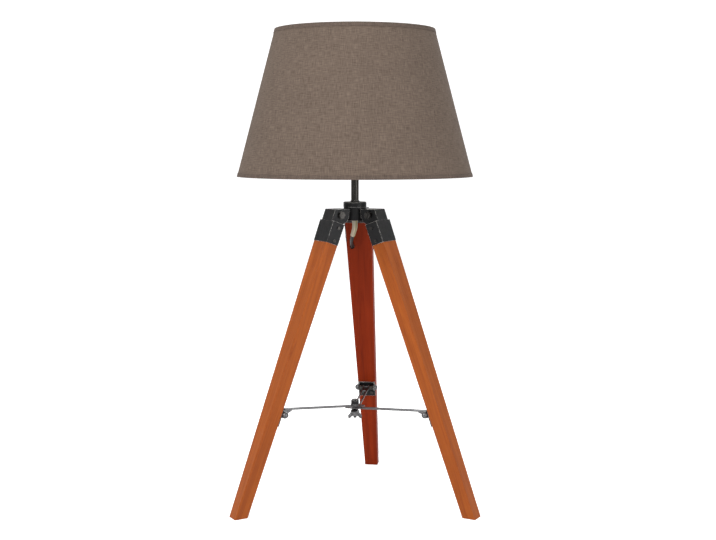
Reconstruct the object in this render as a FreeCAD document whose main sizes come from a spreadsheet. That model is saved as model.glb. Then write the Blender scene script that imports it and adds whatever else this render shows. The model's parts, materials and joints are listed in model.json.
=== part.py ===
import FreeCAD, Part
import Sketcher
import math
import os
import re
from FreeCAD import Placement, Rotation, Vector

# Tripod table lamp: three tapered wooden legs hinged on a turned hub and held apart by
# slotted straps clamped at the middle, with a stem, a lamp holder and a tapered fabric
# shade. Millimetres; Z up; the origin is on the table under the lamp's axis; the front
# looks along +Y, so the back leg is the one towards +Y.

SIZES = {
    # tripod
    "leg_tilt": 20.3,              # degrees that a leg leans from upright
    "left_azimuth": 210.0,
    "right_azimuth": 330.0,
    "back_azimuth": 81.5,          # the back leg stands a little off even spacing
    "hinge_radius": 27.5,          # leg pivots, from the lamp's axis
    "hinge_height": 373.0,
    # hub
    "hub_radius": 14.5,
    "hub_bottom": 365.5,
    "hub_split": 382.5,
    "hub_top": 389.0,
    "lid_overhang": 0.3,
    "lid_bevel": 0.8,
    "nut_recess_radius": 8.6,
    "nut_recess_depth": 7.0,
    "lug_width": 14.0,
    "lug_radius": 4.8,
    # stem
    "stem_radius": 4.9,
    "stem_bore": 3.6,
    "stem_foot": 366.0,
    "stem_head": 436.0,
    "stem_fit": 0.1,
    "collar_radius": 5.8,
    "collar_height": 2.0,
    "lock_nut_flats": 14.0,
    "lock_nut_height": 5.0,
    # hinge screws
    "hinge_screw_radius": 2.5,
    "hinge_fit": 0.06,
    "hinge_head_radius": 4.4,
    "hinge_head_height": 3.0,
    "hinge_washer_radius": 5.0,
    "hinge_washer_height": 1.0,
    "hinge_nut_flats": 8.0,
    "hinge_nut_height": 2.4,
    # leg
    "leg_thickness": 16.5,
    "foot_width": 18.0,
    "leg_offset": 2.1,             # leg's middle outside its pivot, across the leg
    "leg_taper": 0.0475,           # width gained per millimetre of height
    "wood_drop": 11.5,             # pivot to the wood's top, along the leg
    "edge_ease": 0.9,
    # leg cap: a forked head over the hub's lug, and a sleeve round the wood
    "head_width": 26.0,
    "head_outset": 10.6,
    "head_rise": 7.5,
    "head_stop_gap": 0.3,
    "head_top_wall": 2.2,
    "head_outer_wall": 3.0,
    "head_clearance": 0.15,
    "head_swing": 11.4,            # the cheek's reach from the pivot, towards the hub
    "sleeve_drop": 10.4,
    "sleeve_length": 28.1,
    "sleeve_wall": 1.0,
    "sleeve_proud": 0.2,
    "wood_gap": 0.05,
    # small wood screws
    "screw_head_radius": 2.1,
    "screw_head_height": 1.0,
    "screw_shank_radius": 1.1,
    "screw_shank_length": 7.0,
    "cap_screw_low": 34.0,
    "cap_screw_high": 17.0,
    "cap_screw_inset": 1.5,
    # stretcher brackets and their pins
    "pin_drop": 260.5,             # leg pivot to strap pin, along the leg
    "pin_offset": 13.2,            # leg's middle to strap pin, across the leg
    "pin_radius": 2.0,
    "pin_fit": 0.06,
    "bracket_wall": 1.2,
    "bracket_width": 23.0,
    "bracket_above": 6.0,
    "bracket_below": 16.0,
    "ear_radius": 4.3,
    "dome_radius": 4.1,
    "spacer_radius": 3.1,
    "bracket_screw_drop": 10.5,
    "bracket_screw_spread": 6.5,
    # straps
    "strap_slope": 4.1,            # degrees that a strap falls towards the middle
    "strap_width": 8.4,
    "strap_thickness": 1.4,
    "strap_height": 3.0,           # the middle strap's plate above its pin
    "strap_pitch": 2.5,            # from strap to strap where they cross
    "strap_overhang": 14.0,        # what a strap reaches past the middle
    "strap_ear_wall": 1.2,
    "strap_ear_radius": 3.4,
    "strap_ear_length": 13.0,
    "slot_width": 4.3,
    "slot_near": 20.5,             # the slot's end from the strap pin
    "slot_past": 3.5,              # what the slot reaches past the bolt
    # clamp bolt, washers and wing nut at the middle
    "bolt_radius": 2.0,
    "bolt_head_radius": 5.1,
    "bolt_head_height": 6.4,
    "bolt_tail": 107.0,
    "washer_radius": 5.5,
    "washer_height": 1.0,
    "clamp_gap": 0.35,
    "wing_body_radius": 4.3,
    "wing_body_height": 5.6,
    "wing_span": 9.2,
    "wing_drop": 9.0,
    "wing_thickness": 2.0,
    "thread_fit": 0.06,
    # lamp holder
    "holder_base": 430.0,
    "holder_joint": 442.0,
    "holder_radius": 19.0,
    "holder_wall": 2.4,
    "holder_neck_radius": 7.5,
    "holder_neck_height": 4.0,
    "holder_floor": 3.0,
    "flange_radius": 22.5,
    "flange_height": 2.0,
    "flange_rise": 8.0,
    "holder_top": 478.0,
    "insert_height": 10.0,
    "socket_radius": 14.3,
    "socket_wall": 0.6,
    "socket_lip": 2.0,
    "contact_height": 1.4,
    "contact_length": 14.0,
    "contact_width": 5.0,
    "shade_ring_radius": 26.5,
    "shade_ring_flange": 2.4,
    "shade_ring_collar": 22.0,
    "shade_ring_height": 9.5,
    "ring_fit": 0.06,
    "seat_gap": 0.1,
    # bulb
    "bulb_radius": 30.0,
    "bulb_length": 105.0,
    "bulb_neck_radius": 13.0,
    "bulb_wall": 1.0,
    "bulb_cap_radius": 13.1,
    "bulb_cap_wall": 0.5,
    "bulb_cap_height": 22.0,
    "bulb_foot_height": 2.6,
    "bulb_contact_radius": 4.8,
    "bulb_contact_height": 0.8,
    "bulb_stem_radius": 4.5,
    "bulb_stem_height": 22.0,
    "filament_radius": 1.0,
    "filament_length": 34.0,
    "filament_spread": 9.0,
    # shade
    "shade_bottom": 421.5,
    "shade_top": 606.0,
    "shade_foot_radius": 150.0,
    "shade_head_radius": 101.0,
    "fabric_thickness": 0.7,
    "liner_thickness": 0.5,
    "wire_radius": 1.5,
    "wire_inset": 2.2,             # ring wires, from the shade's ends
    "trim_height": 5.0,
    "trim_thickness": 0.4,
    "fitter_radius": 25.0,
    "fitter_thickness": 1.5,
    # mains lead
    "flex_radius": 2.25,
    "lead_hole_radius": 3.3,
    "relief_root_radius": 3.6,
    "relief_tip_radius": 2.95,
    "relief_length": 22.0,
    "stem_lead_radius": 2.4,
    "stem_lead_top": 441.0,
    # switch on the lead
    "switch_length": 56.0,
    "switch_width": 21.0,
    "switch_thickness": 14.0,
    "switch_from": 126.0,          # along the back leg, from its pivot
    "switch_seat": 0.4,
    "switch_aside": 2.0,
    "switch_round": 3.0,
    "switch_part_line": 0.1,
    "rocker_length": 15.0,
    "rocker_width": 8.0,
    "rocker_rise": 1.6,
    "rocker_depth": 4.5,
    "rocker_axle_radius": 1.2,
    "rocker_clearance": 0.6,
    "rocker_tilt": 7.0,
    # hank of the lead that is put away behind the back foot
    "hank_run": 88.0,
    "hank_fold_radius": 13.5,
    "hank_pitch": 5.3,             # from turn to turn, side by side
    "hank_step": 5.4,              # from the inner layer to the outer one
    "hank_waist": 4.5,             # what the tie draws each run in
    "hank_middle_x": 24.2,
    "hank_middle_y": 271.0,
    "hank_lead_in": 12.0,
    "hank_lead_out": 15.0,
    "tie_width": 9.0,
    "tie_wall": 0.8,
    "tie_gap": 0.3,
    # plug
    "plug_start_y": 375.0,
    "plug_width": 35.0,
    "plug_thickness": 13.7,
    "plug_length": 34.0,
    "plug_nose_length": 12.0,
    "plug_nose_radius": 4.0,
    "plug_round": 3.0,
    "plug_pin_radius": 2.0,
    "plug_pin_length": 19.0,
    "plug_pin_spread": 18.6,
    "plug_pin_root": 6.0,
    "plug_pin_root_radius": 1.6,
}

# The lead's route outside the hank, chosen by hand: out of the stem, through the hole in
# the back leg, down the leg's outer face to the switch, on to the table and to the hank.
LEAD_ROUTE = [
    (0.0, 0.0, 365.6), (0.0, 0.0, 356.0), (-3.5, 7.0, 343.0), (-4.95, 26.0, 333.8),
    (-1.2, 64.6, 317.7), (2.6, 71.4, 298.5), (6.3, 76.0, 288.65),
]
UPPER_ROUTE = [(6.3, 76.0, 288.65), (10.0, 80.6, 278.8), (10.95, 87.17, 261.0)]
LOWER_ROUTE = [
    (13.85, 106.37, 208.5), (14.8, 112.9, 190.7), (16.9, 119.6, 163.4), (19.9, 132.9, 123.7),
    (21.4, 149.9, 78.8), (24.3, 164.0, 39.3), (24.6, 177.7, 14.0), (21.6, 191.5, 7.7),
    (18.9, 205.0, 7.65), (18.9, 215.0, 7.65),
]
TAIL_ROUTE = [(24.2, 330.0, 2.25), (24.2, 344.0, 2.25), (24.2, 361.0, 17.5), (24.2, 375.0, 17.5)]

LEGS = ("left", "right", "back")

doc = FreeCAD.newDocument("tripod_lamp")
sheet = doc.addObject("Spreadsheet::Sheet", "dims")
for row, (alias, size) in enumerate(SIZES.items(), start=1):
    sheet.set(f"A{row}", alias)
    sheet.set(f"B{row}", str(size))
    sheet.setAlias(f"B{row}", alias)
doc.recompute()

finished = {}


def cells(text):
    """An expression whose words are the sheet's aliases."""
    return re.sub(r"[a-z][a-z_]+", lambda m: f"dims.{m[0]}" if m[0] in SIZES else m[0], text)


def size(text):
    """The number that an expression has now."""
    number = sheet.evalExpression(cells(text))
    return float(getattr(number, "Value", number))


def bind(thing, **sizes):
    """Tie properties of a document object to the sheet."""
    for name, text in sizes.items():
        thing.setExpression(name, cells(text))
    return thing


def put(thing, x="0", y="0", z="0", turn=None):
    """Place a feature: its turn first, then its base, tied to the sheet."""
    if turn:
        thing.Placement = Placement(Vector(), Rotation(Vector(*turn[:3]), turn[3]))
    for axis, text in (("x", x), ("y", y), ("z", z)):
        thing.setExpression(f"Placement.Base.{axis}", cells(text))
    return thing


ALONG_X = (0, 1, 0, 90)
ALONG_Y = (1, 0, 0, -90)


def rod(name, radius, length, x="0", y="0", z="0", turn=None):
    """A cylinder that starts at x, y, z and runs up, or along its turned axis."""
    thing = bind(doc.addObject("Part::Cylinder", name), Radius=radius, Height=length)
    return put(thing, x, y, z, turn)


def frustum(name, radius, end_radius, length, z="0", turn=None, x="0", y="0"):
    thing = doc.addObject("Part::Cone", name)
    bind(thing, Radius1=radius, Radius2=end_radius, Height=length)
    return put(thing, x, y, z, turn)


def block(name, length, width, height, x="0", y="0", z="0", turn=None):
    """A box whose sizes run along X, Y and Z from its lowest corner."""
    thing = bind(doc.addObject("Part::Box", name), Length=length, Width=width, Height=height)
    return put(thing, x, y, z, turn)


def nut(name, flats, height, z, x="0", y="0", turn=None):
    """A hexagonal prism, measured across its flats."""
    thing = doc.addObject("Part::Prism", name)
    thing.Polygon = 6
    bind(thing, Circumradius=f"({flats}) / 2 / cos(30)", Height=height)
    return put(thing, x, y, z, turn)


def cut(name, base, *tools):
    for number, tool in enumerate(tools, start=1):
        thing = doc.addObject("Part::Cut", f"{name}_cut{number}")
        thing.Base = base
        thing.Tool = tool
        base = thing
    return base


def fuse(name, *shapes):
    thing = doc.addObject("Part::MultiFuse", name)
    thing.Shapes = list(shapes)
    return thing


def overlap(name, *shapes):
    thing = doc.addObject("Part::MultiCommon", name)
    thing.Shapes = list(shapes)
    return thing


def group(name, *shapes):
    """Separate solids that share one node."""
    thing = doc.addObject("Part::Compound", name)
    thing.Links = list(shapes)
    return thing


def sketch(body, name, role, corners):
    """A closed outline of straight lines; each corner is a pair of expressions."""
    plane = next(f for f in body.Origin.OriginFeatures if f.Role == role)
    drawing = body.newObject("Sketcher::SketchObject", name)
    drawing.AttachmentSupport = [(plane, "")]
    drawing.MapMode = "FlatFace"
    points = [Vector(size(x), size(y), 0) for x, y in corners]
    for number, point in enumerate(points):
        drawing.addGeometry(Part.LineSegment(point, points[(number + 1) % len(points)]))
    for number in range(len(points)):
        after = (number + 1) % len(points)
        drawing.addConstraint(Sketcher.Constraint("Coincident", number, 2, after, 1))
    for number, (corner, point) in enumerate(zip(corners, points)):
        for kind, line, text, at in (("DistanceX", -2, corner[0], point.x),
                                     ("DistanceY", -1, corner[1], point.y)):
            if text == "0":
                drawing.addConstraint(Sketcher.Constraint("PointOnObject", number, 1, line))
                continue
            place = drawing.addConstraint(Sketcher.Constraint(kind, -1, 1, number, 1, at))
            drawing.renameConstraint(place, f"{kind[-1].lower()}_{number}")
            drawing.setExpression(f"Constraints.{kind[-1].lower()}_{number}", cells(text))
    return drawing


def turned(name, corners):
    """A body turned about Z from (radius, height) corners."""
    body = doc.addObject("PartDesign::Body", name)
    outline = sketch(body, f"{name}_outline", "XZ_Plane", corners)
    spin = body.newObject("PartDesign::Revolution", f"{name}_turning")
    spin.Profile = outline
    spin.ReferenceAxis = (outline, ["V_Axis"])
    spin.Angle = 360
    outline.Visibility = False
    return body


def plate(name, corners, thickness, role="XZ_Plane"):
    """A body cut from plate: an outline padded to both sides of its plane."""
    body = doc.addObject("PartDesign::Body", name)
    outline = sketch(body, f"{name}_outline", role, corners)
    pad = body.newObject("PartDesign::Pad", f"{name}_pad")
    pad.Profile = outline
    pad.Midplane = True
    pad.setExpression("Length", cells(thickness))
    outline.Visibility = False
    return body


def finish(label, thing, placement=None):
    """Name a finished sub-part and, where it has one, give it its place on the lamp."""
    if placement:
        moved = doc.addObject("Part::Compound", f"{label}_placed")
        moved.Links = [thing]
        moved.Placement = placement
        thing = moved
    thing.Label = label
    finished[label] = thing
    return thing


def feature(label, shape):
    """A sub-part whose form is worked out here from the sheet's sizes."""
    thing = doc.addObject("Part::Feature", f"{label}_form")
    thing.Shape = shape
    return finish(label, thing)


# ---- paths of wire and lead ----

def tangent_arc(start, corner, end):
    """The arc that touches start-corner at start and corner-end at end."""
    middle = (start + end) * 0.5
    half = (end - start).Length / 2
    rise = (corner - middle).Length
    if rise < 1e-6:
        return Part.LineSegment(start, end).toShape()
    sagitta = half * math.tan(math.atan2(rise, half) / 2)
    return Part.Arc(start, middle + (corner - middle) * (sagitta / rise), end).toShape()


ARC_SHARE = 0.45    # of the shorter run beside it that an arc takes


def route_path(label, route):
    """Straight runs joined by tangent arcs as large as their runs allow."""
    points = [Vector(*point) for point in route]
    edges = []
    radii = []
    here = points[0]
    for before, corner, after in zip(points, points[1:], points[2:]):
        back = (before - corner).normalize()
        ahead = (after - corner).normalize()
        reach = ARC_SHARE * min((before - corner).Length, (after - corner).Length)
        half_turn = (math.pi - back.getAngle(ahead)) / 2
        radii.append(reach / math.tan(half_turn))
        start = corner + back * reach
        end = corner + ahead * reach
        edges += [Part.LineSegment(here, start).toShape(), tangent_arc(start, corner, end)]
        here = end
    edges.append(Part.LineSegment(here, points[-1]).toShape())
    print(f"{label}: radii", " ".join(f"{radius:.1f}" for radius in radii))
    return Part.Wire(edges)


def tube(label, path, radius):
    """A round tube along a path, with its volume set against section times length."""
    start = path.Edges[0]
    direction = start.tangentAt(start.FirstParameter)
    ring = Part.Wire(Part.makeCircle(radius, start.valueAt(start.FirstParameter), direction))
    solid = path.makePipeShell([ring], True, False)
    share = solid.Volume / (math.pi * radius ** 2 * path.Length)
    print(f"{label}: length {path.Length:.1f}, volume / (section x length) {share:.4f}")
    return solid


# ---- frames ----

def round_axis(side):
    """The frame on the lamp's axis whose X points at a leg."""
    return Placement(Vector(), Rotation(Vector(0, 0, 1), size(f"{side}_azimuth")))


def leg_frame(side):
    """The frame at a leg's pivot: X outward across the leg, Y along the pivot, Z up the leg."""
    pivot = Vector(size("hinge_radius"), 0, size("hinge_height"))
    lean = Placement(pivot, Rotation(Vector(0, 1, 0), -size("leg_tilt")))
    return round_axis(side).multiply(lean)


def off_pivot():
    """The step from a leg's pivot to the middle of its wood."""
    return Placement(Vector(size("leg_offset"), 0, 0), Rotation())


def strap_frame(side):
    """The frame at a strap's pin, whose X runs up the strap, away from the lamp's axis."""
    pin = leg_frame(side).multVec(Vector(size("leg_offset - pin_offset"), 0,
                                         -size("pin_drop")))
    slope = Rotation(Vector(0, 1, 0), -size("strap_slope"))
    return Placement(pin, round_axis(side).Rotation.multiply(slope))


# Heights and reaches that several pieces share, as expressions of the sheet.
PIN_REACH = ("(hinge_radius + pin_drop * sin(leg_tilt)"
             " - (pin_offset - leg_offset) * cos(leg_tilt))")
PIN_LEVEL = ("(hinge_height - pin_drop * cos(leg_tilt)"
             " - (pin_offset - leg_offset) * sin(leg_tilt))")
CROSSING = (f"({PIN_LEVEL} + strap_height / cos(strap_slope)"
            f" - {PIN_REACH} * tan(strap_slope))")
STACK_HALF = ("(strap_pitch + strap_thickness / 2 + washer_radius * tan(strap_slope)"
              " + clamp_gap)")
FLANGE_LEVEL = "(holder_joint + flange_rise)"
SEAT = f"({FLANGE_LEVEL} + flange_height)"
RING_LEVEL = f"({SEAT} + fitter_thickness + 2 * seat_gap)"
INSERT_TOP = "(holder_joint + insert_height)"
BULB_FOOT = f"({INSERT_TOP} + contact_height + seat_gap)"
BULB_CAP_FOOT = f"({BULB_FOOT} + bulb_foot_height)"
BULB_NECK = f"({BULB_CAP_FOOT} + bulb_cap_height)"
SHADE_LEAN = "((shade_foot_radius - shade_head_radius) / (shade_top - shade_bottom))"


# ---- hub and stem ----

def build_hub():
    """The turned hub with a lug for each leg, and its lid."""
    bore = "stem_radius + stem_fit"
    shelf = "hub_bottom + nut_recess_depth"
    solid = turned("hub_turned", [
        (bore, shelf), ("nut_recess_radius", shelf), ("nut_recess_radius", "hub_bottom"),
        ("hub_radius", "hub_bottom"), ("hub_radius", "hub_split"), (bore, "hub_split")])
    arm = block("lug_arm", "hinge_radius - (nut_recess_radius + hub_radius) / 2", "lug_width",
                "2 * lug_radius", "(nut_recess_radius + hub_radius) / 2", "-lug_width / 2",
                "hinge_height - lug_radius")
    tip = rod("lug_tip", "lug_radius", "lug_width", "hinge_radius", "-lug_width / 2",
              "hinge_height", ALONG_Y)
    hole = rod("lug_hole", "hinge_screw_radius + hinge_fit", "lug_width", "hinge_radius",
               "-lug_width / 2", "hinge_height", ALONG_Y)
    lug = cut("lug", fuse("lug_blank", arm, tip), hole)
    lugs = [placed(f"lug_{side}", lug, round_axis(side)) for side in LEGS]
    finish("hub_body", fuse("hub_fused", solid, *lugs))
    rim = "hub_radius + lid_overhang"
    finish("hub_lid", turned("lid_turned", [
        (bore, "hub_split"), (rim, "hub_split"), (rim, "hub_top - lid_bevel"),
        (f"{rim} - lid_bevel", "hub_top"), (bore, "hub_top")]))


def placed(name, thing, placement):
    """A copy of a feature at a place of its own."""
    copy = doc.addObject("Part::Compound", name)
    copy.Links = [thing]
    copy.Placement = placement
    return copy


def build_stem():
    """The stem tube, the collar at its foot, its lock nut and the lead inside it."""
    finish("stem_tube", turned("stem_turned", [
        ("stem_bore", "stem_foot"), ("stem_radius", "stem_foot"),
        ("stem_radius", "stem_head"), ("stem_bore", "stem_head")]))
    bore = "stem_radius + stem_fit"
    finish("stem_collar", turned("collar_turned", [
        (bore, "hub_top"), ("collar_radius", "hub_top"),
        ("collar_radius", "hub_top + collar_height / 2"),
        ("collar_radius - collar_height / 4", "hub_top + collar_height"),
        (bore, "hub_top + collar_height")]))
    nut_level = "hub_bottom + nut_recess_depth - lock_nut_height"
    blank = nut("lock_nut_blank", "lock_nut_flats", "lock_nut_height", nut_level)
    hole = rod("lock_nut_hole", bore, "lock_nut_height", z=nut_level)
    finish("stem_lock_nut", cut("lock_nut", blank, hole))
    finish("stem_lead", rod("stem_lead_rod", "stem_lead_radius", "stem_lead_top - stem_foot",
                            z="stem_foot"))


def build_hinge_fasteners():
    """A cheese-head screw through each leg's head, with its washers and nut."""
    half = "(head_width / 2 + hinge_fit)"
    bore = "hinge_screw_radius + hinge_fit"
    end = f"({half} + hinge_washer_height)"
    place = {"x": "hinge_radius", "z": "hinge_height", "turn": ALONG_Y}
    shank = rod("hinge_shank", "hinge_screw_radius", f"2 * {end} + hinge_nut_height + hinge_fit",
                y=f"-{end}", **place)
    head = rod("hinge_head", "hinge_head_radius", "hinge_head_height",
               y=f"-{end} - hinge_head_height", **place)
    slot = block("hinge_head_slot", "hinge_head_height / 3", "hinge_head_height / 2",
                 "2 * hinge_head_radius", "hinge_radius - hinge_head_height / 6",
                 f"-{end} - hinge_head_height", "hinge_height - hinge_head_radius")
    screw = cut("hinge_screw", fuse("hinge_screw_blank", shank, head), slot)
    hole = rod("hinge_hole", bore, f"2 * {end} + hinge_nut_height", y=f"-{end}", **place)
    washers = [rod(f"hinge_washer_blank_{end_name}", "hinge_washer_radius",
                   "hinge_washer_height", y=level, **place)
               for end_name, level in (("head", f"-{end}"), ("nut", half))]
    hexagon = nut("hinge_nut_blank", "hinge_nut_flats", "hinge_nut_height", "hinge_height",
                  "hinge_radius", end, ALONG_Y)
    rings = [cut(f"{blank.Name}_ring", blank, hole) for blank in (*washers, hexagon)]
    nuts = group("hinge_rings", *rings)
    finish("hinge_screws", group("screws", *[placed(f"hinge_screw_{side}", screw,
                                                    round_axis(side)) for side in LEGS]))
    finish("hinge_nuts", group("nuts", *[placed(f"hinge_nut_{side}", nuts, round_axis(side))
                                         for side in LEGS]))


# ---- legs ----

def leg_width(drop):
    """The wood's width at a distance below the pivot, along the leg."""
    return f"(foot_width + leg_taper * (hinge_height - ({drop}) * cos(leg_tilt)))"


def tapered(name, top, bottom, inner, outer, inset):
    """A length of the leg's taper, between two drops and two faces, inset at its sides."""
    thing = doc.addObject("Part::Wedge", name)
    low = f"({leg_width(bottom)} / 2 - ({inset}))"
    high = f"({leg_width(top)} / 2 - ({inset}))"
    bind(thing, Xmin=inner, X2min=inner, Xmax=outer, X2max=outer, Ymin="0",
         Ymax=f"({bottom}) - ({top})", Zmin=f"-{low}", Zmax=low, Z2min=f"-{high}", Z2max=high)
    return put(thing, z=f"-({bottom})", turn=(1, 0, 0, 90))


def eased(name, thing, axis, radius):
    """Round the straight edges of a feature that run along an axis."""
    doc.recompute()
    rounded = doc.addObject("Part::Fillet", name)
    rounded.Base = thing
    rounded.Edges = [(number, radius, radius)
                     for number, edge in enumerate(thing.Shape.Edges, start=1)
                     if abs(edge.tangentAt(edge.FirstParameter).dot(axis)) > 0.99]
    return rounded


SLEEVE_FOOT = "sleeve_drop + sleeve_length"


def wood_screws(name, spare):
    """The small screws of one leg, or with some spare the holes that they sit in."""
    screws = []
    spots = [(f"{name}_{'low' if drop == 'cap_screw_low' else 'high'}_{way}", drop, sign)
             for drop in ("cap_screw_low", "cap_screw_high") for way, sign in (("a", ""), ("b", "-"))]
    for spot, drop, sign in spots:
        face = f"({leg_width(drop)} / 2 + sleeve_proud + wood_gap)"
        turn = (1, 0, 0, 90 if not sign else -90)
        place = {"x": "-cap_screw_inset", "z": f"-{drop}"}
        head = rod(f"{spot}_head", f"screw_head_radius + {spare}", "screw_head_height",
                   y=f"{sign}({face} + screw_head_height)", turn=turn, **place)
        shank = rod(f"{spot}_shank", f"screw_shank_radius + {spare}", "screw_shank_length",
                    y=f"{sign}{face}", turn=turn, **place)
        screws.append(fuse(spot, head, shank))
    for way, sign in (("a", ""), ("b", "-")):
        face = "leg_thickness / 2 + bracket_wall + wood_gap"
        place = {"y": f"{sign}bracket_screw_spread", "z": "-pin_drop - bracket_screw_drop",
                 "turn": ALONG_X}
        head = rod(f"{name}_plate_{way}_head", f"screw_head_radius + {spare}",
                   "screw_head_height", x=f"-({face}) - screw_head_height", **place)
        shank = rod(f"{name}_plate_{way}_shank", f"screw_shank_radius + {spare}",
                    "screw_shank_length", x=f"-({face})", **place)
        screws.append(fuse(f"{name}_plate_{way}", head, shank))
    return group(name, *screws)


def build_wood():
    """The tapered wood of one leg, rebated at its top for the cap, cut level at its foot."""
    half = "leg_thickness / 2"
    long_drop = f"(hinge_height + (leg_offset + {half}) * sin(leg_tilt)) / cos(leg_tilt)"
    short_drop = f"(hinge_height + (leg_offset - {half}) * sin(leg_tilt)) / cos(leg_tilt)"
    rebate = "sleeve_wall - sleeve_proud + wood_gap"
    shaft = tapered("wood_shaft", SLEEVE_FOOT, long_drop, f"-{half}", half, "0")
    shaft = eased("wood_eased", shaft, Vector(0, 0, 1), size("edge_ease"))
    tongue = tapered("wood_tongue", "wood_drop", SLEEVE_FOOT, f"-{half}",
                     f"{half} - ({rebate})", rebate)
    side = plate("wood_side", [(f"-{half}", "-wood_drop"), (half, "-wood_drop"),
                               (half, f"-{long_drop}"), (f"-{half}", f"-{short_drop}")],
                 f"2 * {leg_width('wood_drop')}")
    blank = overlap("wood_blank", fuse("wood_stick", shaft, tongue), side)
    return cut("wood", blank, wood_screws("wood_holes", "wood_gap"))


def build_cap():
    """The forked head over the hub's lug, and the sleeve that holds the wood."""
    inner = "-(hinge_radius - hub_radius - head_stop_gap)"
    # The head's top is level on the lamp, so its corners lie along the leg's tilt.
    def level_top(across, rise):
        return (f"{across} * cos(leg_tilt) + ({rise}) * sin(leg_tilt)",
                f"-{across} * sin(leg_tilt) + ({rise}) * cos(leg_tilt)")
    outer_rise = "(head_rise - head_outset * sin(leg_tilt)) / cos(leg_tilt)"
    head = plate("cap_head", [
        level_top(inner, "head_rise"), ("head_outset", outer_rise),
        ("head_outset", "-sleeve_drop - wood_gap * 2"),
        ("leg_offset - leg_thickness / 2", "-sleeve_drop - wood_gap * 2"),
        ("-head_swing + 0.6", "-head_swing / 2 + 0.7"), ("-head_swing + 0.6", "3")],
        "head_width")
    wall = "head_outset - head_outer_wall"
    under = "head_rise - head_top_wall"
    slot = plate("cap_slot", [
        level_top(f"2 * ({inner})", under), (wall, f"({under} - ({wall}) * sin(leg_tilt)) / cos(leg_tilt)"),
        (wall, "-sleeve_drop + 2 * sleeve_wall"), (f"2 * ({inner})", "-sleeve_drop + 2 * sleeve_wall")],
        "lug_width + 2 * head_clearance")
    face = "leg_thickness / 2"
    shell = tapered("sleeve_outside", "sleeve_drop", SLEEVE_FOOT, f"-{face}",
                    f"{face} + sleeve_proud", "-sleeve_proud")
    space = tapered("sleeve_inside", "sleeve_drop + sleeve_wall", f"{SLEEVE_FOOT} + 1",
                    f"-{face} - 1", f"{face} + sleeve_proud - sleeve_wall",
                    "sleeve_wall - sleeve_proud")
    bore = rod("cap_bore", "hinge_screw_radius + hinge_fit", "head_width", y="-head_width / 2",
               turn=ALONG_Y)
    sleeve = placed("sleeve_moved", cut("sleeve", shell, space), off_pivot())
    blank = fuse("cap_blank", head, sleeve)
    holes = placed("cap_holes_moved", wood_screws("cap_holes", "wood_gap"), off_pivot())
    return cut("cap", blank, slot, bore, holes)


def build_bracket():
    """The plate on the leg's inner face, with two ears for the strap's pin."""
    face = "leg_thickness / 2 + wood_gap"
    back = block("bracket_plate", "bracket_wall - wood_gap", "bracket_width",
                 "bracket_above + bracket_below", "-leg_thickness / 2 - bracket_wall",
                 "-bracket_width / 2", "-pin_drop - bracket_below")
    parts = [back]
    for way, edge in (("a", "bracket_width / 2 - bracket_wall"), ("b", "-bracket_width / 2")):
        parts.append(rod(f"bracket_ear_{way}", "ear_radius", "bracket_wall", "-pin_offset", edge,
                         "-pin_drop", ALONG_Y))
        parts.append(block(f"bracket_web_{way}", f"pin_offset - ({face})", "bracket_wall",
                           "2 * ear_radius", "-pin_offset", edge, "-pin_drop - ear_radius"))
    bore = rod("bracket_bore", "pin_radius + wood_gap", "bracket_width", "-pin_offset",
               "-bracket_width / 2", "-pin_drop", ALONG_Y)
    return cut("bracket", fuse("bracket_blank", *parts), bore,
               wood_screws("bracket_holes", "wood_gap"))


def build_pin():
    """The strap's pin with its domed ends, and the spacers beside the strap's ears."""
    end = "(bracket_width / 2 + wood_gap)"
    place = {"x": "-pin_offset", "z": "-pin_drop"}
    shank = rod("pin_shank", "pin_radius", f"2 * {end}", y=f"-{end}", turn=ALONG_Y, **place)
    domes = []
    for way, sign, angle in (("a", "", -90), ("b", "-", 90)):
        dome = doc.addObject("Part::Sphere", f"pin_dome_{way}")
        dome.Angle1 = 0
        bind(dome, Radius="dome_radius")
        domes.append(put(dome, y=f"{sign}{end}", turn=(1, 0, 0, angle), **place))
    spacers = []
    reach = "(bracket_width / 2 - bracket_wall - strap_width / 2 - 4 * pin_fit)"
    for way, start in (("a", "strap_width / 2 + 2 * pin_fit"),
                       ("b", f"-strap_width / 2 - 2 * pin_fit - {reach}")):
        blank = rod(f"spacer_{way}_blank", "spacer_radius", reach, y=start, turn=ALONG_Y, **place)
        bore = rod(f"spacer_{way}_bore", "pin_radius + wood_gap", reach, y=start, turn=ALONG_Y,
                   **place)
        spacers.append(cut(f"spacer_{way}", blank, bore))
    return fuse("pin", shank, *domes), group("spacers", *spacers)


def build_legs():
    """Each leg's wood, cap, screws, bracket, pin and spacers, put at its place."""
    wood = build_wood()
    lead_hole = doc.addObject("Part::Feature", "lead_hole")
    inner, outer = (Vector(*point) for point in LEAD_ROUTE[3:5])
    along = (outer - inner).normalize()
    lead_hole.Shape = Part.makeCylinder(size("lead_hole_radius"), 60, inner - along * 12, along)
    cap = build_cap()
    screws = wood_screws("leg_screws", "0")
    bracket = build_bracket()
    pin, spacers = build_pin()
    for side in LEGS:
        frame = leg_frame(side)
        middle = frame.multiply(off_pivot())
        if side == "back":
            timber = placed("wood_back", wood, middle)
            finish("leg_back_wood", cut("wood_drilled", timber, lead_hole))
        else:
            finish(f"leg_{side}_wood", wood, middle)
        finish(f"leg_{side}_cap", cap, frame)
        finish(f"leg_{side}_screws", screws, middle)
        finish(f"leg_{side}_bracket", bracket, middle)
        finish(f"strap_{side}_pin", pin, middle)
        finish(f"strap_{side}_spacers", spacers, middle)


# ---- stretcher ----

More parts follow.
